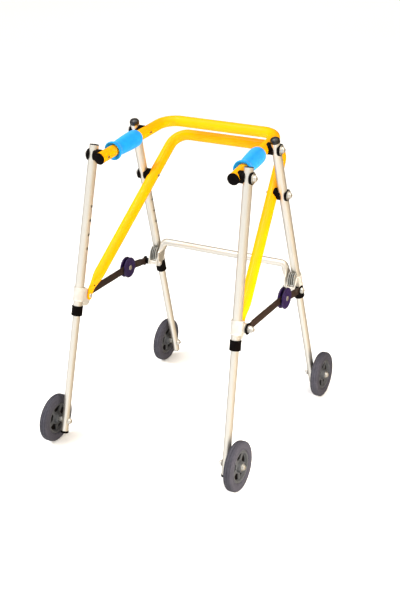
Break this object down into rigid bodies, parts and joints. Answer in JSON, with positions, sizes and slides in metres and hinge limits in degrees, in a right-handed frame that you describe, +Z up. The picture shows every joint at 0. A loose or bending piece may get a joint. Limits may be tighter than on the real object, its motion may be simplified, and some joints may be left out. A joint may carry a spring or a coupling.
{
  "type": "pediatric posterior walker",
  "caption": "Folding child's walker that is pulled along behind: yellow U-bars on splayed aluminium legs with height adjustment, foam hand grips, folding side stays and plain wheels.",
  "frame": {"origin": "on the floor, midway between the four wheels", "axes": "+Z up; -Y is the open side that the child faces out of, +Y the closed side behind the child; +X and -X mirror each other"},
  "size_m": [0.5628, 0.693, 0.7856],
  "materials": {
    "yellow_powder_coat": "gloss powder coat",
    "anodised_aluminium": "satin anodised",
    "black_nylon": "moulded",
    "blue_foam": "closed-cell foam",
    "grey_tyre": "matte",
    "hub_plastic": "moulded",
    "bright_fasteners": "bright plated",
    "purple_plastic": "moulded",
    "black_stay": "black sleeve on steel strip"
  },
  "bodies": {
    "handle_frame": {"handle_bar": "yellow_powder_coat", "handle_plug_left": "black_nylon", "grip_left": "blue_foam", "front_top_pivot_left": "black_nylon", "rear_top_pivot_left": "black_nylon", "handle_plug_right": "black_nylon", "grip_right": "blue_foam", "front_top_pivot_right": "black_nylon", "rear_top_pivot_right": "black_nylon"},
    "rear_frame": {"rear_crossbar": "anodised_aluminium", "leg_upper_rear_left": "anodised_aluminium", "leg_collar_rear_left": "black_nylon", "leg_cap_rear_left": "black_nylon", "rear_bracket_left": "anodised_aluminium", "leg_upper_rear_right": "anodised_aluminium", "leg_collar_rear_right": "black_nylon", "leg_cap_rear_right": "black_nylon", "rear_bracket_right": "anodised_aluminium"},
    "lower_frame": {"lower_bar": "yellow_powder_coat", "rear_mid_pivot_left": "black_nylon", "rear_mid_pivot_right": "black_nylon"},
    "front_leg_left": {"leg_upper_front_left": "anodised_aluminium", "leg_collar_front_left": "black_nylon", "leg_cap_front_left": "anodised_aluminium", "front_bracket_left": "anodised_aluminium"},
    "stay_front_left_link": {"stay_front_left": "black_stay"},
    "stay_rear_left_link": {"stay_rear_left": "black_stay"},
    "knob_left_body": {"knob_left": "purple_plastic"},
    "lower_leg_front_left": {"leg_lower_front_left": "anodised_aluminium", "leg_tip_front_left": "black_nylon", "axle_bolt_front_left": "bright_fasteners"},
    "wheel_front_left": {"tyre_front_left": "grey_tyre", "hub_front_left": "hub_plastic"},
    "button_front_left": {"snap_button_front_left": "bright_fasteners"},
    "lower_leg_rear_left": {"leg_lower_rear_left": "anodised_aluminium", "leg_tip_rear_left": "black_nylon", "axle_bolt_rear_left": "bright_fasteners"},
    "wheel_rear_left": {"tyre_rear_left": "grey_tyre", "hub_rear_left": "hub_plastic"},
    "button_rear_left": {"snap_button_rear_left": "bright_fasteners"},
    "front_leg_right": {"leg_upper_front_right": "anodised_aluminium", "leg_collar_front_right": "black_nylon", "leg_cap_front_right": "anodised_aluminium", "front_bracket_right": "anodised_aluminium"},
    "stay_front_right_link": {"stay_front_right": "black_stay"},
    "stay_rear_right_link": {"stay_rear_right": "black_stay"},
    "knob_right_body": {"knob_right": "purple_plastic"},
    "lower_leg_front_right": {"leg_lower_front_right": "anodised_aluminium", "leg_tip_front_right": "black_nylon", "axle_bolt_front_right": "bright_fasteners"},
    "wheel_front_right": {"tyre_front_right": "grey_tyre", "hub_front_right": "hub_plastic"},
    "button_front_right": {"snap_button_front_right": "bright_fasteners"},
    "lower_leg_rear_right": {"leg_lower_rear_right": "anodised_aluminium", "leg_tip_rear_right": "black_nylon", "axle_bolt_rear_right": "bright_fasteners"},
    "wheel_rear_right": {"tyre_rear_right": "grey_tyre", "hub_rear_right": "hub_plastic"},
    "button_rear_right": {"snap_button_rear_right": "bright_fasteners"}
  },
  "joints": [
    {"name": "rear_frame_fold", "type": "hinge", "parent": "handle_frame", "child": "rear_frame", "pos_m": [0, 0.03095, 0.7588], "axis": [1, 0, 0], "range_deg": [-35.48, 0]},
    {"name": "lower_frame_fold", "type": "hinge", "parent": "rear_frame", "child": "lower_frame", "pos_m": [0, 0.0763, 0.63384], "axis": [1, 0, 0], "range_deg": [0, 29.8]},
    {"name": "front_leg_left_fold", "type": "hinge", "parent": "handle_frame", "child": "front_leg_left", "pos_m": [0.20825, -0.15416, 0.73592], "axis": [1, 0, 0], "range_deg": [-17.4, 0]},
    {"name": "stay_front_left_fold", "type": "hinge", "parent": "front_leg_left", "child": "stay_front_left_link", "pos_m": [0.21959, -0.18108, 0.37507], "axis": [1, 0, 0], "range_deg": [0, 36.7]},
    {"name": "stay_rear_left_fold", "type": "hinge", "parent": "rear_frame", "child": "stay_rear_left_link", "pos_m": [0.20834, 0.13701, 0.36313], "axis": [1, 0, 0], "range_deg": [-64, 0]},
    {"name": "knob_left_turn", "type": "hinge", "parent": "stay_rear_left_link", "child": "knob_left_body", "pos_m": [0.2309, 0.03601, 0.37713], "axis": [1, 0, 0], "range_deg": [0, 90]},
    {"name": "leg_front_left_height", "type": "slide", "parent": "front_leg_left", "child": "lower_leg_front_left", "axis": [-0.0315, 0.189, 0.9815], "range_m": [0, 0.142]},
    {"name": "wheel_front_left_spin", "type": "hinge", "parent": "lower_leg_front_left", "child": "wheel_front_left", "pos_m": [0.2605, -0.284, 0.06263], "axis": [0.9995, 0, 0.0321], "continuous": true},
    {"name": "button_front_left_press", "type": "slide", "parent": "lower_leg_front_left", "child": "button_front_left", "axis": [0.9995, 0, 0.0321], "range_m": [0, 0.0025], "stiffness_N_per_m": 1500, "springref_m": -0.002},
    {"name": "leg_rear_left_height", "type": "slide", "parent": "rear_frame", "child": "lower_leg_rear_left", "axis": [-0.0302, -0.341, 0.9396], "range_m": [0, 0.142]},
    {"name": "wheel_rear_left_spin", "type": "hinge", "parent": "lower_leg_rear_left", "child": "wheel_rear_left", "pos_m": [0.249, 0.284, 0.06263], "axis": [0.9995, 0, 0.0321], "continuous": true},
    {"name": "button_rear_left_press", "type": "slide", "parent": "lower_leg_rear_left", "child": "button_rear_left", "axis": [0.9995, 0, 0.0321], "range_m": [0, 0.0025], "stiffness_N_per_m": 1500, "springref_m": -0.002},
    {"name": "front_leg_right_fold", "type": "hinge", "parent": "handle_frame", "child": "front_leg_right", "pos_m": [-0.20825, -0.15416, 0.73592], "axis": [1, 0, 0], "range_deg": [-17.4, 0]},
    {"name": "stay_front_right_fold", "type": "hinge", "parent": "front_leg_right", "child": "stay_front_right_link", "pos_m": [-0.21959, -0.18108, 0.37507], "axis": [1, 0, 0], "range_deg": [0, 36.7]},
    {"name": "stay_rear_right_fold", "type": "hinge", "parent": "rear_frame", "child": "stay_rear_right_link", "pos_m": [-0.20834, 0.13701, 0.36313], "axis": [1, 0, 0], "range_deg": [-64, 0]},
    {"name": "knob_right_turn", "type": "hinge", "parent": "stay_rear_right_link", "child": "knob_right_body", "pos_m": [-0.2309, 0.03601, 0.37713], "axis": [1, 0, 0], "range_deg": [0, 90]},
    {"name": "leg_front_right_height", "type": "slide", "parent": "front_leg_right", "child": "lower_leg_front_right", "axis": [0.0315, 0.189, 0.9815], "range_m": [0, 0.142]},
    {"name": "wheel_front_right_spin", "type": "hinge", "parent": "lower_leg_front_right", "child": "wheel_front_right", "pos_m": [-0.2605, -0.284, 0.06263], "axis": [-0.9995, 0, 0.0321], "continuous": true},
    {"name": "button_front_right_press", "type": "slide", "parent": "lower_leg_front_right", "child": "button_front_right", "axis": [-0.9995, 0, 0.0321], "range_m": [0, 0.0025], "stiffness_N_per_m": 1500, "springref_m": -0.002},
    {"name": "leg_rear_right_height", "type": "slide", "parent": "rear_frame", "child": "lower_leg_rear_right", "axis": [0.0302, -0.341, 0.9396], "range_m": [0, 0.142]},
    {"name": "wheel_rear_right_spin", "type": "hinge", "parent": "lower_leg_rear_right", "child": "wheel_rear_right", "pos_m": [-0.249, 0.284, 0.06263], "axis": [-0.9995, 0, 0.0321], "continuous": true},
    {"name": "button_rear_right_press", "type": "slide", "parent": "lower_leg_rear_right", "child": "button_rear_right", "axis": [-0.9995, 0, 0.0321], "range_m": [0, 0.0025], "stiffness_N_per_m": 1500, "springref_m": -0.002}
  ],
  "couplings": [
    {"joint": "lower_frame_fold", "follows": "rear_frame_fold", "ratio": -0.83654},
    {"joint": "front_leg_left_fold", "follows": "rear_frame_fold", "ratio": 0.48614},
    {"joint": "stay_front_left_fold", "follows": "rear_frame_fold", "ratio": -1.0266},
    {"joint": "stay_rear_left_fold", "follows": "rear_frame_fold", "ratio": 1.7938},
    {"joint": "front_leg_right_fold", "follows": "rear_frame_fold", "ratio": 0.48614},
    {"joint": "stay_front_right_fold", "follows": "rear_frame_fold", "ratio": -1.0266},
    {"joint": "stay_rear_right_fold", "follows": "rear_frame_fold", "ratio": 1.7938}
  ]
}
